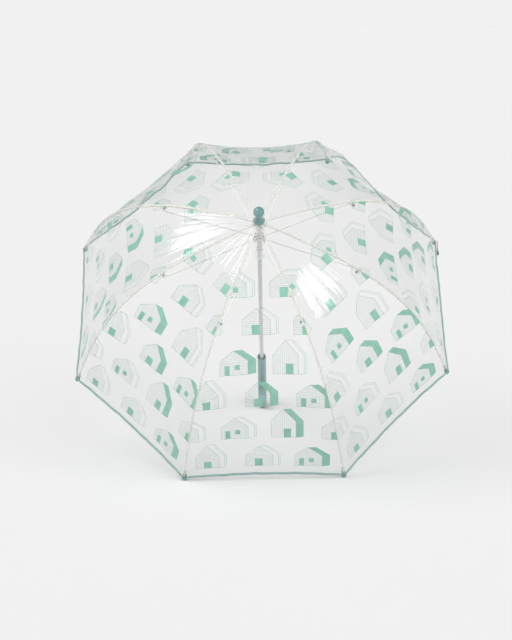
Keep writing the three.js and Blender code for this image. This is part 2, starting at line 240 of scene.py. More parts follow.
# An object whose vertices are given in the umbrella's frame and whose faces are rows of four corners.
def addPiece(name, points, faces, covers, uv=None, slots=None, close=False):
    mesh = bpy.data.meshes.new(name)
    vertices = toRow(points.reshape(-1, 3))
    faces = np.asarray(faces, np.int32)
    mesh.vertices.add(len(vertices))
    mesh.vertices.foreach_set("co", vertices.astype(np.float32).ravel())
    mesh.loops.add(faces.size)
    mesh.loops.foreach_set("vertex_index", faces.ravel())
    mesh.polygons.add(len(faces))
    mesh.polygons.foreach_set("loop_start", np.arange(0, faces.size, 4, dtype=np.int32))
    mesh.polygons.foreach_set("use_smooth", np.full(len(faces), True))
    for cover in covers:
        mesh.materials.append(finishes[cover])
    if slots is not None:
        mesh.polygons.foreach_set("material_index", np.asarray(slots, np.int32))
    mesh.update(calc_edges=True)
    if uv is not None:
        layer = mesh.uv_layers.new(name="plan")
        layer.data.foreach_set("uv", uv.reshape(-1, 2)[faces.ravel()].astype(np.float32).ravel())
    mesh.validate()
    if close:
        weld(mesh)
    piece = bpy.data.objects.new(name, mesh)
    scene.collection.objects.link(piece)
    return piece


# Poles and seams become single vertices, and the faces of the closed shell point out.
def weld(mesh, reach=2e-6):
    work = bmesh.new()
    work.from_mesh(mesh)
    bmesh.ops.remove_doubles(work, verts=work.verts, dist=reach)
    bmesh.ops.recalc_face_normals(work, faces=work.faces)
    work.to_mesh(mesh)
    work.free()


# A closed shell from a grid whose columns go round, and whose first and last rows are poles or one ring.
def addShell(name, grid, cover):
    return addPiece(name, grid, gridFaces(*grid.shape[:2], closeColumns=True), [cover], close=True)


# A round solid about Z: each profile point (radius, z) is carried round a circle.
def latheGrid(profile, sides):
    profile = np.asarray(profile, float)
    angle = np.arange(sides) * 2 * math.pi / sides
    return np.stack([
        profile[:, :1] * np.cos(angle), profile[:, :1] * np.sin(angle),
        np.repeat(profile[:, 1:], sides, axis=1),
    ], axis=-1)


# A ring of section points (along normal, along binormal) carried along a path of centres.
def sweptGrid(path, normal, section):
    tangent = np.gradient(path, axis=0)
    tangent /= np.linalg.norm(tangent, axis=1, keepdims=True)
    binormal = np.cross(tangent, normal)
    binormal /= np.linalg.norm(binormal, axis=1, keepdims=True)
    upward = np.cross(binormal, tangent)
    return path[:, None] + section[..., :1] * upward[:, None] + section[..., 1:] * binormal[:, None]


# Rings round the origin: cosine and sine, times one radius or one for each ring.
def circleSection(radius, sides):
    angle = np.arange(sides) * 2 * math.pi / sides
    return np.stack([np.cos(angle), np.sin(angle)], axis=-1) * np.asarray(radius, float).reshape(-1, 1, 1)


# Closes both ends of a tube by drawing one more ring in to each end's centre.
def capped(grid):
    first = np.repeat(grid[:1].mean(axis=1, keepdims=True), grid.shape[1], axis=1)
    last = np.repeat(grid[-1:].mean(axis=1, keepdims=True), grid.shape[1], axis=1)
    return np.concatenate([first, grid, last])


# Points on a circle from one angle to another, in degrees.
def arcPoints(centre, radius, start, end, count):
    angle = np.radians(np.linspace(start, end, count))
    return np.stack([centre[0] + radius * np.cos(angle), centre[1] + radius * np.sin(angle)], axis=-1)


# A colour code as linear light: each part to the power 2.4, above a short straight start.
def srgb(code):
    parts = [int(code[i:i + 2], 16) / 255 for i in (0, 2, 4)]
    return [part / 12.92 if part <= 0.04045 else ((part + 0.055) / 1.055) ** 2.4 for part in parts] + [1.0]


# The node tree of a material or of the world, with short ways to add and link nodes.
class Nodes:
    def __init__(self, owner, output="ShaderNodeOutputMaterial"):
        self.owner = owner
        self.owner.use_nodes = True
        self.tree = self.owner.node_tree
        self.tree.nodes.clear()
        self.output = self.add(output)

    def add(self, kind, **settings):
        node = self.tree.nodes.new(kind)
        for key, value in settings.items():
            setattr(node, key, value)
        return node

    def link(self, source, target):
        self.tree.links.new(source, target)

    # One step of arithmetic on sockets or plain numbers.
    def math(self, operation, *values, clamp=False):
        node = self.add("ShaderNodeMath", operation=operation, use_clamp=clamp)
        for socket, value in zip(node.inputs, values):
            if hasattr(value, "is_output"):
                self.link(value, socket)
            else:
                socket.default_value = value
        return node.outputs[0]

    def noise(self, scale, detail, stretch=(1, 1, 1)):
        place = self.add("ShaderNodeTexCoord")
        mapping = self.add("ShaderNodeMapping")
        mapping.inputs["Scale"].default_value = stretch
        texture = self.add("ShaderNodeTexNoise")
        texture.inputs["Scale"].default_value = scale
        texture.inputs["Detail"].default_value = detail
        self.link(place.outputs["Object"], mapping.inputs["Vector"])
        self.link(mapping.outputs["Vector"], texture.inputs["Vector"])
        return texture.outputs[0]

    # A colour that runs from one tone to another while the source runs from low to high.
    def ramp(self, source, low, high, lowColour, highColour):
        node = self.add("ShaderNodeValToRGB")
        first, last = node.color_ramp.elements
        first.position, last.position = low, high
        first.color, last.color = lowColour, highColour
        self.link(source, node.inputs[0])
        return node.outputs[0]

    # The source's 0 to 1 becomes low to high.
    def span(self, source, low, high):
        node = self.add("ShaderNodeMapRange")
        node.inputs["To Min"].default_value = low
        node.inputs["To Max"].default_value = high
        self.link(source, node.inputs["Value"])
        return node.outputs[0]

    def bump(self, height, strength, distance):
        node = self.add("ShaderNodeBump")
        node.inputs["Strength"].default_value = strength
        node.inputs["Distance"].default_value = distance
        self.link(height, node.inputs["Height"])
        return node.outputs[0]

    def principled(self, **values):
        node = self.add("ShaderNodeBsdfPrincipled")
        for key, value in values.items():
            node.inputs[key.replace("_", " ")].default_value = value
        return node

    def shaderMix(self, share, first, second):
        node = self.add("ShaderNodeMixShader")
        if hasattr(share, "is_output"):
            self.link(share, node.inputs[0])
        else:
            node.inputs[0].default_value = share
        self.link(first, node.inputs[1])
        self.link(second, node.inputs[2])
        return node.outputs[0]

    def finish(self, shader):
        self.link(shader, self.output.inputs["Surface"])
        return self.owner

    # How far the surface turns away from the eye, the same for both of its sides: 0 facing, 1 edge on.
    def turnedAway(self):
        node = self.add("ShaderNodeLayerWeight")
        node.inputs["Blend"].default_value = 0.5
        return node.outputs["Facing"]


def newMaterial(name):
    return Nodes(bpy.data.materials.new(name))


mouldedLook = {"tones": (0.3, 0.7), "roughSpan": (0.8, 1.25), "grainDepth": 0.0004, "coatRough": 0.12}


# Mottled plastic or metal: a colour that drifts between two tones, roughness and bump from noise.
def moulded(name, dark, light, rough, scale=60, grain=900, bump=0.05, metallic=0.0, coat=0.0,
            stretch=(1, 1, 1)):
    make = newMaterial(name)
    body = make.principled(Metallic=metallic, Coat_Weight=coat, Coat_Roughness=mouldedLook["coatRough"])
    drift = make.noise(scale, 4, stretch)
    fine = make.noise(grain, 2, stretch)
    make.link(make.ramp(drift, *mouldedLook["tones"], srgb(dark), srgb(light)), body.inputs["Base Color"])
    lowRough, highRough = (rough * share for share in mouldedLook["roughSpan"])
    make.link(make.span(drift, lowRough, highRough), body.inputs["Roughness"])
    make.link(make.bump(fine, bump, mouldedLook["grainDepth"]), body.inputs["Normal"])
    return make.finish(body.outputs[0])


filmLook = {
    "faceOn": 0.035, "edgeOn": 0.40, "power": 3.0,  # share of mirror, by the angle
    "mirror": "fbfcfc", "rough": 0.03, "roughSpan": (0.7, 1.3), "roughGrain": 140,
    "clear": "fefefe", "deep": "eef0ef", "turn": (0.05, 0.95),  # face on, edge on, and where they begin
    "milk": "e4e8e7", "milkRough": 0.5, "haze": 0.008, "hazeSpan": (0.5, 1.6), "hazeClouds": 9,
    "streaks": 21.0, "along": 2.6, "streakDepth": 0.0006,
    "steadyFrom": 0.24,  # share of the arc where streaks are at full height
}


# Thin clear film: mostly see-through, mirror-like by the angle, with a trace of milky haze and
# fine streaks that run out from the crown, as steep beside it as further down.
def clearFilm():
    make = newMaterial("clearFilm")
    away = make.turnedAway()
    through = make.add("ShaderNodeBsdfTransparent")
    make.link(make.ramp(away, *filmLook["turn"], srgb(filmLook["clear"]), srgb(filmLook["deep"])),
              through.inputs["Color"])

    # the mirror's roughness varies a little
    gloss = make.principled(Metallic=1.0, Base_Color=srgb(filmLook["mirror"]))
    fine = make.noise(filmLook["roughGrain"], 2)
    lowRough, highRough = (filmLook["rough"] * share for share in filmLook["roughSpan"])
    make.link(make.span(fine, lowRough, highRough), gloss.inputs["Roughness"])

    # streaks: noise on the panel's own plan, pulled out along it
    plan = make.add("ShaderNodeUVMap", uv_map="plan")
    spread = make.add("ShaderNodeVectorMath", operation="MULTIPLY")
    make.link(plan.outputs[0], spread.inputs[0])
    spread.inputs[1].default_value = (filmLook["streaks"], filmLook["along"], 1)
    streak = make.add("ShaderNodeTexNoise")
    streak.inputs["Scale"].default_value = 1.0
    streak.inputs["Detail"].default_value = 3.0
    make.link(spread.outputs[0], streak.inputs["Vector"])
    parts = make.add("ShaderNodeSeparateXYZ")
    make.link(plan.outputs[0], parts.inputs[0])
    grown = make.math("MINIMUM", make.math("DIVIDE", parts.outputs[1], filmLook["steadyFrom"]), 1.0)
    height = make.math("MULTIPLY", streak.outputs[0], grown)
    make.link(make.bump(height, 1.0, filmLook["streakDepth"]), gloss.inputs["Normal"])

    edge = make.math("MULTIPLY", make.math("POWER", away, filmLook["power"]), filmLook["edgeOn"])
    share = make.math("ADD", edge, filmLook["faceOn"], clamp=True)
    sheet = make.shaderMix(share, through.outputs[0], gloss.outputs[0])
    milk = make.principled(Base_Color=srgb(filmLook["milk"]), Roughness=filmLook["milkRough"])
    lowHaze, highHaze = (filmLook["haze"] * share for share in filmLook["hazeSpan"])
    haze = make.span(make.noise(filmLook["hazeClouds"], 3), lowHaze, highHaze)
    return make.finish(make.shaderMix(haze, sheet, milk.outputs[0]))


weldLook = {"clear": "f8f8f5", "milk": "f5f5f1", "rough": 0.2, "grain": 60, "cover": (0.10, 0.20),
            "edgeOn": 0.25}


# Doubled, welded film: the same, but whiter and less clear.
def weldedFilm():
    make = newMaterial("weldedFilm")
    through = make.add("ShaderNodeBsdfTransparent")
    through.inputs["Color"].default_value = srgb(weldLook["clear"])
    milk = make.principled(Base_Color=srgb(weldLook["milk"]), Roughness=weldLook["rough"])
    share = make.math("ADD", make.span(make.noise(weldLook["grain"], 2), *weldLook["cover"]),
                      make.math("MULTIPLY", make.turnedAway(), weldLook["edgeOn"]))
    return make.finish(make.shaderMix(share, through.outputs[0], milk.outputs[0]))


inkLook = {"rough": 0.35, "tones": (0.35, 0.65), "clouds": 70, "pinholes": 600, "clearSpan": (1.3, 0.7)}


# Printed ink on film: even, slightly see-through colour with pinholes and a satin shine.
def ink(name, dark, light, clear):
    make = newMaterial(name)
    through = make.add("ShaderNodeBsdfTransparent")
    through.inputs["Color"].default_value = srgb(light)
    body = make.principled(Roughness=inkLook["rough"])
    drift = make.noise(inkLook["clouds"], 4)
    make.link(make.ramp(drift, *inkLook["tones"], srgb(dark), srgb(light)), body.inputs["Base Color"])
    lowCover, highCover = (1 - clear * share for share in inkLook["clearSpan"])
    cover = make.span(make.noise(inkLook["pinholes"], 2), lowCover, highCover)
    return make.finish(make.shaderMix(cover, through.outputs[0], body.outputs[0]))


milkLook = {"rough": 0.3, "coat": 0.2, "coatRough": 0.15, "clouds": 120, "clearSpan": (1.2, 0.8)}


# Milky plastic that lets some of what is behind it through.
def milky(name, dark, light, clear):
    make = newMaterial(name)
    through = make.add("ShaderNodeBsdfTransparent")
    body = make.principled(Roughness=milkLook["rough"], Coat_Weight=milkLook["coat"],
                           Coat_Roughness=milkLook["coatRough"])
    drift = make.noise(milkLook["clouds"], 3)
    make.link(make.ramp(drift, *mouldedLook["tones"], srgb(dark), srgb(light)), body.inputs["Base Color"])
    lowCover, highCover = (1 - clear * share for share in milkLook["clearSpan"])
    cover = make.span(drift, lowCover, highCover)
    return make.finish(make.shaderMix(cover, through.outputs[0], body.outputs[0]))


wallLook = {
    "course": 0.17,  # a level line, as a share of its pitch
    "joint": 0.4,  # an upright line, in millimetres
    "paint": "9fc4b8", "paper": "fdfdfd", "rough": 0.5,
    "wash": (0.03, 0.08), "lines": 0.46,
}


# A printed wall: a pale wash with thin lines ruled across it. pitch is the spacing of the lines in
# millimetres of the print's own plan, across and up; 0 leaves that direction out.
def wall(name, pitch, stagger=0.0):
    make = newMaterial(name)
    plan = make.add("ShaderNodeUVMap", uv_map="plan")
    parts = make.add("ShaderNodeSeparateXYZ")
    make.link(plan.outputs[0], parts.inputs[0])
    across, up = parts.outputs[0], parts.outputs[1]
    lines = None
    if pitch[1]:
        row = make.math("DIVIDE", up, pitch[1])
        lines = make.math("LESS_THAN", make.math("FRACT", row), wallLook["course"])
        if stagger:
            shift = make.math("MULTIPLY", make.math("FLOOR", row), stagger * pitch[0])
            across = make.math("ADD", across, shift)
    if pitch[0]:
        place = make.math("FRACT", make.math("DIVIDE", across, pitch[0]))
        column = make.math("LESS_THAN", place, wallLook["joint"] / pitch[0])
        lines = column if lines is None else make.math("MAXIMUM", lines, column)
    through = make.add("ShaderNodeBsdfTransparent")
    through.inputs["Color"].default_value = srgb(wallLook["paper"])
    body = make.principled(Roughness=wallLook["rough"], Base_Color=srgb(wallLook["paint"]))
    wash = make.span(make.noise(300, 2), *wallLook["wash"])
    share = make.math("ADD", wash, make.math("MULTIPLY", lines, wallLook["lines"]), clamp=True)
    return make.finish(make.shaderMix(share, through.outputs[0], body.outputs[0]))


finishes = {
    "film": clearFilm(),
    "weld": weldedFilm(),
    "ink": ink("mintInk", "8ac4af", "99cfbb", 0.12),
    "line": ink("lineInk", "90b8ab", "a1c5b9", 0.28),
    "siding": wall("wallSiding", (0, 3.2)),
    "boards": wall("wallBoards", (3.0, 0)),
    "bricks": wall("wallBricks", (5.5, 2.8), 0.5),
    "hem": moulded("hemTape", "85a5a1", "98b4b0", 0.42, scale=90, grain=1500, bump=0.25),
    "teal": moulded("tealPlastic", "608e8e", "739e9d", 0.16, scale=45, bump=0.04, coat=0.9),
    "grip": moulded("gripPlastic", "779c9a", "88aba8", 0.3, scale=30, bump=0.08, coat=0.2),
    "fibre": moulded("fibreglassRod", "ebebe6", "f3f3ef", 0.5, scale=25, grain=700, bump=0.03,
                     stretch=(6, 6, 1)),
    "milk": milky("milkPlastic", "fafbfb", "ffffff", 0.55),
    "clear": milky("clearPlastic", "fafbfb", "ffffff", 0.74),
    "shaft": moulded("paintedShaft", "d3d4d5", "dcddde", 0.3, scale=20, bump=0.04, coat=0.2,
                     stretch=(1, 1, 0.1)),
    "steel": moulded("brightSteel", "dfe1e2", "eff0f0", 0.3, metallic=0.3),
    "strap": moulded("strapTape", "4f6d6c", "63817f", 0.5, scale=90, grain=1500, bump=0.2),
    "dark": moulded("darkMetal", "1f2b28", "34423e", 0.38, metallic=0.6),
}
print("materials made:", len(finishes))


# The canopy: one grid of film for each panel, from the crown to the hem.
canopy = {"rows": 150, "columns": 88, "start": 6.5, "end": 475.0, "keep": 0.14}


# Everything sewn to a panel turns with it, on its own copy of the mesh.
def goWithPanel(piece, number):
    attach(piece, f"panel_{number}")
    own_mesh(piece)
    return piece


# The film: filmPoint over a grid of arc by share across.
def addPanel(number):
    arc = np.linspace(canopy["start"], canopy["end"], canopy["rows"])[:, None]
    across = np.linspace(-1, 1, canopy["columns"])[None, :]
    arc, across = np.broadcast_arrays(arc, across)
    points = filmPoint(number, arc, across)
    faces = gridFaces(*arc.shape)
    uv = np.stack([2 * number + across / 2, arc / dome["ribArc"]], axis=-1)  # the panels keep apart
    piece = addPiece(f"film_{number}", points, faces, ["film"], uv=uv)
    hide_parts(f"panel_{number}")
    return goWithPanel(piece, number)


# The hem: a folded tape along each panel's rim.
hem = {
    "from": 474.8, "to": 479.2, "thick": 3.0, "round": 1.3, "columns": 72,
    "reach": 0.985,  # how near the ribs it ends, as a share of the half width
    "ripple": 0.5, "ripples": (17, 7.3), "alongRipple": 0.4,
    "pinch": 0.35, "pinchPower": 14,  # thinner at its ends
}


# The folded tape's section, a rounded slot in (along the arc, through the film), goes round the rim.
def addHem(number):
    corner = hem["round"]
    flat, deep = (hem["to"] - hem["from"]) / 2 - corner, hem["thick"] / 2 - corner
    section = np.concatenate([
        arcPoints((x, y), corner, start, start + 90, 4)
        for x, y, start in ((flat, deep, 0), (-flat, deep, 90), (-flat, -deep, 180), (flat, -deep, 270))
    ])
    across = np.linspace(-hem["reach"], hem["reach"], hem["columns"])[:, None]
    quick, slow = hem["ripples"]
    wave = hem["ripple"] * np.sin(across * quick + number) * np.sin(across * slow + 2 * number)
    pinch = 1 - hem["pinch"] * np.abs(across) ** hem["pinchPower"]
    middle = (hem["from"] + hem["to"]) / 2
    arc, across = np.broadcast_arrays(middle + section[:, 0] * pinch + hem["alongRipple"] * wave, across)
    points = filmPoint(number, arc, across, lift=section[:, 1] * pinch + wave)
    piece = addShell(f"hem_binding_{number}", capped(points), "hem")
    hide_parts(f"hem_{number}")
    return goWithPanel(piece, number)


# The print: rows of little gabled houses, in millimetres.
houses = {
    "low": {"width": 44, "wall": 25, "roof": 18, "depth": 13, "door": (7, 8, 17), "window": (23, 9, 8, 9),
            "wallInk": "bricks"},
    "tall": {"width": 40, "wall": 34, "roof": 25, "depth": 12, "door": (20, 12, 19), "wallInk": "boards"},
    "wide": {"width": 45, "wall": 26, "roof": 19, "depth": 12, "door": (15, 13, 17), "wallInk": "siding"},
    "steep": {"width": 38, "wall": 25, "roof": 28, "depth": 12, "door": (13, 12, 15), "wallInk": "siding"},
    "barn": {"width": 39, "wall": 26, "roof": 19, "depth": 13, "door": (13, 13, 15), "wallInk": "bricks"},
}
layout = {
    "bases": [136.0, 200.0, 269.5, 330.0, 395.0, 459.0],  # arc of each row's ground line
    "columnPitch": 81.0,
    "cell": 2.2,
    "line": 0.55,
    "lift": -0.30,  # the ink is on the film's inner side
    "over": {"ink": 0.06, "line": 0.03},  # and solid ink and lines lie over the walls
    "margin": 1.2,  # the print stops this far from a seam
    "backRise": (1.5, 2.5),  # how much higher the far side is drawn, at the ridge and the eave
    "inset": 3.0,  # an open roof has a second line this far in
    # each row: left edge of its first house, then kind, whether its roof is filled and any shift
    "rows": [
        (-66, [("low", False), ("wide", False)]),
        (-111, [("steep", False), ("wide", False), ("barn", False)]),
        (-66, [("low", True), ("tall", False, 2.5)]),
        (-108, [("steep", False), ("barn", True), ("low", True)]),
        (-149, [("wide", False), ("low", False), ("tall", True), ("wide", False)]),
        (-111, [("steep", False), ("wide", False), ("low", True)]),
    ],
}


# Bilinear patch: the four corners, bottom left first and anticlockwise, mixed by u and v.
def patch(corners, ink, cell):
    a, b, c, d = (np.array(corner, float) for corner in corners)
    wide = math.ceil(max(np.linalg.norm(b - a), np.linalg.norm(c - d)) / cell) + 1
    tall = math.ceil(max(np.linalg.norm(d - a), np.linalg.norm(c - b)) / cell) + 1
    u, v = np.meshgrid(np.linspace(0, 1, wide), np.linspace(0, 1, tall))
    u, v = u[..., None], v[..., None]
    return (a * (1 - u) * (1 - v) + b * u * (1 - v) + c * u * v + d * (1 - u) * v, ink)


# A thin ribbon centred on the line from start to end.
def ribbon(start, end, width, cell):
    start, end = np.array(start, float), np.array(end, float)
    along = (end - start) / np.linalg.norm(end - start)
    side = np.array([-along[1], along[0]]) * width / 2
    reach = along * width / 2
    corners = [start - side - reach, end - side + reach, end + side + reach, start + side - reach]
    return patch(corners, "line", cell)


# A house in plan: the gable wall as two patches, its roof and far side set over by the depth, a door,
# perhaps a window, and a ribbon along each edge.
def housePatches(kind, filled):
    shape = houses[kind]
    width, eave, ridge, depth = shape["width"], shape["wall"], shape["wall"] + shape["roof"], shape["depth"]
    middle = width / 2
    cell, line, inset = layout["cell"], layout["line"], layout["inset"]
    ridgeRise, eaveRise = layout["backRise"]
    peak, peakBack = (middle, ridge), (middle + depth, ridge + ridgeRise)
    eaveBack, footBack = (width + depth, eave + eaveRise), (width + depth, eaveRise)
    patches = [
        patch([(0, 0), (middle, 0), peak, (0, eave)], shape["wallInk"], cell),
        patch([(middle, 0), (width, 0), (width, eave), peak], shape["wallInk"], cell),
    ]
    edges = [((0, 0), (width, 0)), ((0, 0), (0, eave)), ((0, eave), peak), (peak, (width, eave)),
             ((width, eave), (width, 0))]
    if filled:
        patches.append(patch([(width, eave), eaveBack, peakBack, peak], "ink", cell))
        patches.append(patch([(width, 0), footBack, eaveBack, (width, eave)], "ink", cell))
    else:
        far = width + depth - inset
        edges += [(peak, peakBack), (peakBack, eaveBack), (eaveBack, footBack), ((width, 0), footBack),
                  ((middle + depth - inset, ridge + 1), (far, eave + 1)), ((far, eave + 1), (far, 2))]
    doorLeft, doorWide, doorTall = shape["door"]
    openings = [(doorLeft, 0, doorWide, doorTall)]
    if "window" in shape:
        openings.append(shape["window"])
    for left, low, wide, tall in openings:
        right, high = left + wide, low + tall
        patches.append(patch([(left, low), (right, low), (right, high), (left, high)], "ink", cell))
    return patches + [ribbon(start, end, line, cell) for start, end in edges]


# The whole print of a panel: each patch's plan goes onto the film, and is cut off along the seams.
def addPrint(number):
    inks = ["ink", "line", "siding", "boards", "bricks"]
    pointList, faceList, slotList, planList = [], [], [], []
    start = 0
    for row, (left, rowHouses) in enumerate(layout["rows"]):
        base = layout["bases"][row]
        for column, (kind, filled, *shift) in enumerate(rowHouses):
            for plan, inkName in housePatches(kind, filled):
                offset = plan[..., 0] + left + column * layout["columnPitch"] + sum(shift)
                arc = base - plan[..., 1]
                limit = halfWidth(arc) - layout["margin"]
                inside = np.abs(offset) < limit
                across = np.clip(offset, -limit, limit) / halfWidth(arc)
                lift = layout["lift"] + layout["over"].get(inkName, 0.0)
                points = filmPoint(number, arc, across, lift)
                faces = gridFaces(*arc.shape, start=start)
                kept = inside.ravel()[faces - start].any(axis=1)
                pointList.append(points.reshape(-1, 3))
                planList.append(plan.reshape(-1, 2))
                faceList.append(faces[kept])
                slotList.append(np.full(kept.sum(), inks.index(inkName)))
                start += arc.size
    points, faces = np.concatenate(pointList), np.concatenate(faceList)
    used, renumbered = np.unique(faces, return_inverse=True)
    piece = addPiece(f"print_{number}", points[used], renumbered.reshape(-1, 4), inks,
                     uv=np.concatenate(planList)[used], slots=np.concatenate(slotList))
    piece.visible_shadow = False  # the lights are too broad for the little houses to show on the floor
    return goWithPanel(piece, number)


for number in range(1, ribCount + 1):
    film, binding, pattern = addPanel(number), addHem(number), addPrint(number)


# Ribs, welded seams, the stretchers' rivets and the tips.
upright = np.array([0.0, 0.0, 1.0])
rib = {
    "radius": 1.15, "start": 9.4, "end": 474.0, "steps": 120,
    "pivotRadius": 8.0,  # the eye turns on the crown's wire, this far from the shaft's axis
    "bendFrom": 8, "bendTo": 45,  # arc where it bends down to the wire
    "eyeRing": 1.55, "eyeWire": 1.15, "eyeThin": 0.5, "eyeNarrow": 0.95,
}


# The rib's line: the dome's profile, dropped beside the crown by a smoothstep to reach the wire.
def ribLine(arc):
    radius, height, _ = profileAt(arc)
    drop = wireDepth + profileAt(rib["pivotRadius"])[1]
    bend = 1 - smooth(rib["bendFrom"], rib["bendTo"], arc)
    return np.stack([radius, np.zeros_like(radius), height - drop * bend], axis=-1)


# A round rod along the rib's line, with a flat eye on the crown's wire at its inner end.
def addRib(number):
    path = ribLine(np.linspace(rib["start"], rib["end"], rib["steps"]))
    rod = capped(sweptGrid(path, upright, circleSection(rib["radius"], 12)))
    wire = arcPoints((0, 0), rib["eyeWire"], 0, 360, 9)[:-1] * [1, rib["eyeNarrow"]]
    turn = np.linspace(0, 2 * math.pi, 29)[:-1]
    out = np.stack([np.cos(turn), 0 * turn, np.sin(turn)], axis=-1)
    circle = np.array([rib["pivotRadius"], 0, -wireDepth]) + rib["eyeRing"] * out
    loop = circle[:, None] + rib["eyeThin"] * wire[None, :, :1] * out[:, None]
    loop = loop + wire[None, :, 1:] * np.array([0.0, 1.0, 0.0])
    loop = np.concatenate([loop, loop[:1]])
    points = turned(np.concatenate([rod.reshape(-1, 3), loop.reshape(-1, 3)]), ribTurn(number))
    rodCount = rod.shape[0] * rod.shape[1]
    faces = np.concatenate([gridFaces(*rod.shape[:2], closeColumns=True),
                            gridFaces(*loop.shape[:2], closeColumns=True, start=rodCount)])
    piece = addPiece(f"rib_rod_{number}", points, faces, ["fibre"], close=True)
    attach(piece, f"rib_{number}")
    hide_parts(f"rib_{number}")


seam = {
    "width": 2.8, "thick": 0.5, "start": 8.0, "end": 473.5, "steps": 140,
    "over": 0.35,  # above the film
    "narrow": 0.35, "narrowFrom": 8, "narrowTo": 60,  # narrower beside the crown
    "wavers": [(0.12, 19, 1), (0.15, 43, 2)],  # size, length and phase by rib number
}


# The weld: a low strip that lies over the rib and laps both panels. Its section is an oval squared by
# raising its sine to 0.7 and its cosine to 0.5.
def addSeam(number):
    arc = np.linspace(seam["start"], seam["end"], seam["steps"])
    lift = mix(dome["liftCrown"], dome["liftRim"], arc / dome["ribArc"]) + seam["over"]
    radius, height, _ = profileAt(arc, lift)
    path = np.stack([radius, np.zeros_like(radius), height], axis=-1)
    turn = np.radians(np.arange(0, 360, 30))
    sine, cosine = np.sin(turn), np.cos(turn)
    width = seam["width"] / 2 * mix(seam["narrow"], 1.0, smooth(seam["narrowFrom"], seam["narrowTo"], arc))
    waver = sum(size * np.sin(arc / length + phase * number) for size, length, phase in seam["wavers"])
    section = np.stack([
        np.sign(sine) * np.abs(sine) ** 0.7 * seam["thick"] / 2 * np.ones_like(width)[:, None],
        np.sign(cosine) * np.abs(cosine) ** 0.5 * width[:, None] + waver[:, None],
    ], axis=-1)
    grid = capped(sweptGrid(path, upright, section))
    piece = addShell(f"weld_seam_{number}", turned(grid, ribTurn(number)), "weld")
    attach(piece, f"rib_{number}")


# Sets a lathe shape on a rib, at an arc and a lift: its axis points out along the rib, or lies across it.
def onRib(grid, number, arc, lift=0.0, lying=False):
    radius, height, slope = (float(value) for value in profileAt(arc, lift))
    outward = np.array([math.cos(slope), 0, -math.sin(slope)])
    normal = np.array([math.sin(slope), 0, math.cos(slope)])
    sideway = np.array([0.0, 1.0, 0.0])
    first, second, axle = (outward, normal, sideway) if lying else (normal, sideway, outward)
    placed = grid[..., :1] * first + grid[..., 1:2] * second + grid[..., 2:] * axle
    return turned(placed + np.array([radius, 0, height]), ribTurn(number))


tip = {
    "ball": 4.4, "neck": 2.4, "collar": 3.5, "collarRound": 0.8, "collarAt": -7.6,
    "foot": [(0, -8.6), (1.9, -8.6)], "waist": [(2.6, -6.6), (2.3, -5.2)],
    # radius and place along the rib, from its end
    "sleeve": [(1.55, -8.8), (2.75, -8.8), (2.9, -11), (2.75, -15), (2.35, -18.5), (1.55, -18.8),
               (1.55, -8.8)],
}


# A ball on a turned neck with a round collar, and the sleeve behind it.
def addTip(number):
    ball, collarRound = tip["ball"], tip["collarRound"]
    neck = math.degrees(math.asin(tip["neck"] / ball))
    outline = np.concatenate([
        tip["foot"],
        arcPoints((tip["collar"] - collarRound, tip["collarAt"]), collarRound, -90, 90, 7),
        tip["waist"],
        arcPoints((0, 0), ball, -90 + neck, 90, 22),
    ])
    grid = onRib(latheGrid(outline, 32), number, dome["ribArc"])
    piece = addShell(f"tip_ball_{number}", grid, "teal")
    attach(piece, f"rib_{number}")
    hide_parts(f"tip_{number}")
    grid = onRib(latheGrid(tip["sleeve"], 28), number, dome["ribArc"])
    piece = addShell(f"tip_sleeve_{number}", grid, "weld")
    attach(piece, f"rib_{number}")


rivet = {"arc": 177.6, "drop": 5.0, "shank": 1.15, "head": 1.6, "headThick": 0.7, "near": -3.5, "far": 3.0}


# The dark rivet that a stretcher turns on, a lathe shape lying across its rib.
def addRivet(number):
    shank, head, thick = rivet["shank"], rivet["head"], rivet["headThick"]
    near, far = rivet["near"], rivet["far"]
    outline = [(0, near), (head, near), (head, near + thick), (shank, near + thick),
               (shank, far - thick), (head, far - thick), (head, far), (0, far)]
    grid = onRib(latheGrid(outline, 20), number, rivet["arc"], -rivet["drop"], lying=True)
    piece = addShell(f"joint_rivet_{number}", grid, "dark")
    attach(piece, f"rib_{number}")


for number in range(1, ribCount + 1):
    addRib(number)
    addSeam(number)
    addTip(number)
    addRivet(number)
print("ribs, seams, tips and rivets made")


# The finial, from its foot up.
finial = {
    "foot": 2.1, "ring": 9.15, "ball": 8.85, "ballHeight": 26.5, "waist": 6.0,
    "bore": 4.0, "boreDeep": 9.2,  # the shaft's end sits in it
    "round": 1.3, "roundRise": 1.0,  # the foot's two rounded edges, one above the other
    "neckIn": 0.35, "neckFrom": 3.4, "neckPower": 0.6,
    "flare": 0.5, "flareFrom": 0.8, "meet": 0.6,  # the neck widens again to meet the ball
}


# A foot, a neck drawn in by a power curve and a ball, turned on a lathe.
def addFinial():
    foot, ring, ball, waist = finial["foot"], finial["ring"], finial["ball"], finial["waist"]
    bore, deep, edge = finial["bore"], foot + finial["boreDeep"], finial["round"]
    start = math.degrees(math.asin((waist + finial["meet"]) / ball))
    neckTop = finial["ballHeight"] - ball * math.cos(math.radians(start))
    share = np.linspace(0, 1, 12)[1:-1]
    neck = np.stack([mix(ring - finial["neckIn"], waist, share ** finial["neckPower"]),
                     mix(foot + finial["neckFrom"], neckTop, share)], axis=-1)
    neck[:, 0] += finial["flare"] * smooth(finial["flareFrom"], 1.0, share)
    outline = np.concatenate([
        [(0, deep), (bore, deep), (bore, foot)],
        arcPoints((ring - edge, foot + edge), edge, -90, 0, 6),
        arcPoints((ring - edge, foot + edge + finial["roundRise"]), edge, 0, 60, 5),
        neck,
        arcPoints((0, finial["ballHeight"]), ball, start - 90, 90, 34),
    ])
    piece = addShell("finial_knob", latheGrid(outline, 64), "teal")
    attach(piece, "shaft")
    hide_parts("finial")


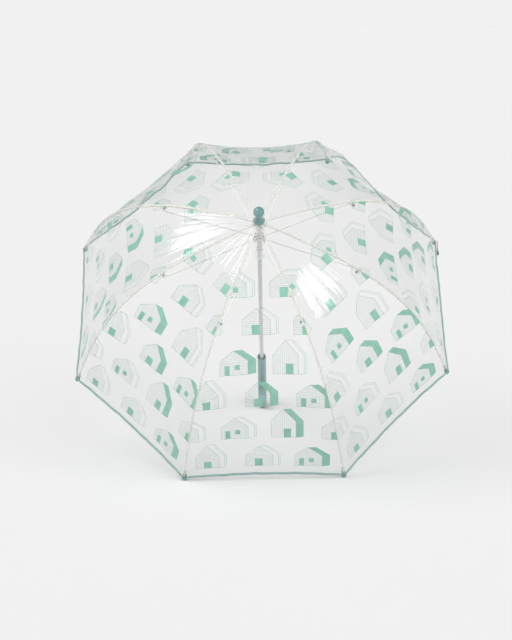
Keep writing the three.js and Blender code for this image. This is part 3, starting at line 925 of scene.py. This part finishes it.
handle = {
    "radius": 8.3, "top": -465.0, "straight": 110.0, "crook": 22.0, "end": 8.0,
    "hollow": [(9.0, 0.0), (9.0, 4.05), (8.0, 6.3), (0.8, 6.7)],  # depth and radius inside the lip
    "lip": 1.0,  # the lip's rounding
    "steps": 110,
}


# Down the straight grip, round a half circle towards the front, and a little way back up.
def crookLine(way):
    bend = math.pi * handle["crook"]
    low = handle["top"] - handle["straight"]
    angle = np.clip((way - handle["straight"]) / handle["crook"], 0, math.pi)
    y = -handle["crook"] * (1 - np.cos(angle))
    z = low - handle["crook"] * np.sin(angle)
    z = z + np.clip(handle["straight"] - way, 0, None) + np.clip(way - handle["straight"] - bend, 0, None)
    return np.stack([np.zeros_like(y), y, z], axis=-1)


# The grip is a round bar along the crook's line, rounded at its lip and end, hollow round the shaft.
def addHandle():
    radius, lip = handle["radius"], handle["lip"]
    total = handle["straight"] + math.pi * handle["crook"] + handle["end"]
    inside = np.array(handle["hollow"])
    lipTurn = np.radians(np.linspace(0, 90, 7))
    barWay = np.linspace(2 * lip, total, handle["steps"])[1:]
    endTurn = np.radians(np.linspace(0, 90, 12)[1:])
    way = np.concatenate([inside[:, 0], lip * (1 - np.cos(lipTurn)), barWay,
                          total + radius * np.sin(endTurn)])
    size = np.concatenate([inside[:, 1], radius - lip + lip * np.sin(lipTurn),
                           np.full(len(barWay), radius), radius * np.cos(endTurn)])
    path = crookLine(np.clip(way, 0, None))
    path[:, 2] = np.where(way < handle["straight"], handle["top"] - way, path[:, 2])
    near = np.clip(way, 0, total)
    tangent = crookLine(near + 0.5) - crookLine(near - 0.5)
    tangent /= np.linalg.norm(tangent, axis=1, keepdims=True)
    binormal = np.repeat([[1.0, 0.0, 0.0]], len(path), axis=0)
    upward = np.cross(tangent, binormal)
    section = circleSection(size, 40)
    grid = path[:, None] + section[..., :1] * upward[:, None] + section[..., 1:] * binormal[:, None]
    piece = addShell("crook_grip", grid, "grip")
    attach(piece, "shaft")
    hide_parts("handle")


addFinial()
addHandle()
print("finial and grip made")


# Machined and moulded parts that keep their own shape, and the finish of each.
kept = {
    "shaft": "shaft", "crown_washer": "clear", "crown_notch": "clear", "crown_wire": "steel",
    "runner": "milk", "runner_wire": "steel", "top_catch": "steel", "bottom_catch": "steel",
    "closure_strap": "strap", "strap_snap": "dark",
}
for number in range(1, ribCount + 1):
    kept[f"rib_joint_{number}"] = "clear"
    kept[f"stretcher_{number}"] = "fibre"
for name, finish in kept.items():
    if not nodes[name].material_slots:
        nodes[name].data.materials.append(None)
    for slot in nodes[name].material_slots:
        slot.link = "OBJECT"
        slot.material = finishes[finish]
print("kept parts finished:", len(kept))

# Floor, light and camera.
softboxes = [
    # where each is seen from the object: degrees right of the front, above the floor, and its size
    {"azimuth": 49, "elevation": 30, "wide": 22, "tall": 18, "power": 10.0},
    {"azimuth": -78, "elevation": 53, "wide": 42, "tall": 16, "power": 7.5},
]
keys = [
    # broader lights of the same two banks, which light the matt surfaces and cast the soft shadows
    {"azimuth": 42, "elevation": 40, "wide": 50, "tall": 44, "power": 3.9},
    {"azimuth": -68, "elevation": 50, "wide": 60, "tall": 40, "power": 4.2},
]
room = {
    "backdrop": "f1f1f1",  # what the eye sees behind the floor
    "ambient": 0.36, "horizon": 0.62, "horizonFall": 1.6,  # what shiny surfaces mirror beside the softboxes
    "fill": 0.34,  # even light from all round
    "boxRim": 0.12,  # share of a softbox over which it fades out
    "floor": 0.80, "mottle": (0.998, 1.002), "reach": 400.0,
}


# A unit vector from degrees right of the front and degrees above the floor.
def direction(azimuth, elevation):
    a, e = math.radians(azimuth), math.radians(elevation)
    return Vector((math.sin(a) * math.cos(e), -math.cos(a) * math.cos(e), math.sin(e)))


# Studio light from far away: each softbox is a bright rectangle of directions on a dim room. Shiny
# surfaces mirror the small ones, all others are lit by the broad ones, and the eye sees the backdrop.
def addLight():
    world = bpy.data.worlds.new("studio")
    scene.world = world
    make = Nodes(world, "ShaderNodeOutputWorld")
    place = make.add("ShaderNodeTexCoord")

    def along(axis):
        node = make.add("ShaderNodeVectorMath", operation="DOT_PRODUCT")
        make.link(place.outputs["Generated"], node.inputs[0])
        node.inputs[1].default_value = axis
        return node.outputs["Value"]

    # Share of a softbox seen in a direction: 1 inside its rectangle, falling to 0 over its rim.
    def seenBox(box):
        centre = direction(box["azimuth"], box["elevation"])
        right = direction(box["azimuth"] + 90, 0)
        top = right.cross(-centre)
        ahead = make.math("MAXIMUM", along(centre), 1e-4)
        inside = None
        for axis, size in ((right, box["wide"]), (top, box["tall"])):
            limit = math.tan(math.radians(size / 2))
            off = make.math("ABSOLUTE", make.math("DIVIDE", along(axis), ahead))
            edge = make.math("MULTIPLY", make.math("SUBTRACT", limit, off), 1 / (room["boxRim"] * limit))
            edge = make.math("MINIMUM", make.math("MAXIMUM", edge, 0.0), 1.0)
            inside = edge if inside is None else make.math("MULTIPLY", inside, edge)
        return make.math("MULTIPLY", inside, box["power"])

    fall = make.math("MULTIPLY_ADD", along(Vector((0, 0, 1))), -room["horizonFall"], 1.0)
    low = make.math("MAXIMUM", fall, 0.0)
    mirrored = make.math("MULTIPLY_ADD", low, room["horizon"], room["ambient"])
    for box in softboxes:
        mirrored = make.math("ADD", mirrored, seenBox(box))
    lit = room["fill"]
    for box in keys:
        lit = make.math("ADD", lit, seenBox(box))
    path = make.add("ShaderNodeLightPath")
    shine = path.outputs["Is Glossy Ray"]
    total = make.math("ADD", make.math("MULTIPLY", mirrored, shine),
                      make.math("MULTIPLY", lit, make.math("SUBTRACT", 1.0, shine)))
    light, seen = make.add("ShaderNodeBackground"), make.add("ShaderNodeBackground")
    make.link(total, light.inputs["Strength"])
    seen.inputs["Color"].default_value = srgb(room["backdrop"])
    make.finish(make.shaderMix(path.outputs["Is Camera Ray"], light.outputs[0], seen.outputs[0]))


# The floor: one flat sheet at height 0 that reaches out of sight.
def addFloor():
    make = newMaterial("paleFloor")
    body = make.add("ShaderNodeBsdfDiffuse")
    dark, light = ([room["floor"] * share] * 3 + [1] for share in room["mottle"])
    make.link(make.ramp(make.noise(3, 2), *mouldedLook["tones"], dark, light), body.inputs["Color"])
    reach = room["reach"]
    corners = [(-reach, -reach, 0), (reach, -reach, 0), (reach, reach, 0), (-reach, reach, 0)]
    mesh = bpy.data.meshes.new("floor")
    mesh.from_pydata(corners, [], [(0, 1, 2, 3)])
    mesh.materials.append(make.finish(body.outputs[0]))
    floor = bpy.data.objects.new("floor", mesh)
    scene.collection.objects.link(floor)


camera = {"left": 0.0102, "behindCrown": 0.0066, "distance": 2.096, "azimuth": 0.22, "elevation": 12.76,
          "roll": -1.19, "lens": 72.37, "sensor": 36, "farEnd": 1000}


# The camera looks along the floor's front at a point near the crown, at half the object's height.
def addCamera():
    low, high = (Vector(corner) for corner in cadBox)
    aim = Vector(((low.x + high.x) / 2 - camera["left"], crown[1] + camera["behindCrown"],
                  (low.z + high.z) / 2))
    back = direction(camera["azimuth"], camera["elevation"])
    level = Vector((0, 0, 1)).cross(back).normalized()
    roll = math.radians(camera["roll"])
    right = level * math.cos(roll) + back.cross(level) * math.sin(roll)
    top = back.cross(right)
    data = bpy.data.cameras.new("camera")
    data.lens = camera["lens"]
    data.sensor_width = camera["sensor"]
    data.clip_end = camera["farEnd"]
    eye = bpy.data.objects.new("camera", data)
    rotation = Matrix((right, top, back)).transposed()
    eye.matrix_world = Matrix.Translation(aim + back * camera["distance"]) @ rotation.to_4x4()
    scene.collection.objects.link(eye)
    scene.camera = eye


addLight()
addFloor()
addCamera()
scene.view_settings.view_transform = "Standard"
scene.cycles.transparent_max_bounces = 32
print("floor, light and camera placed")
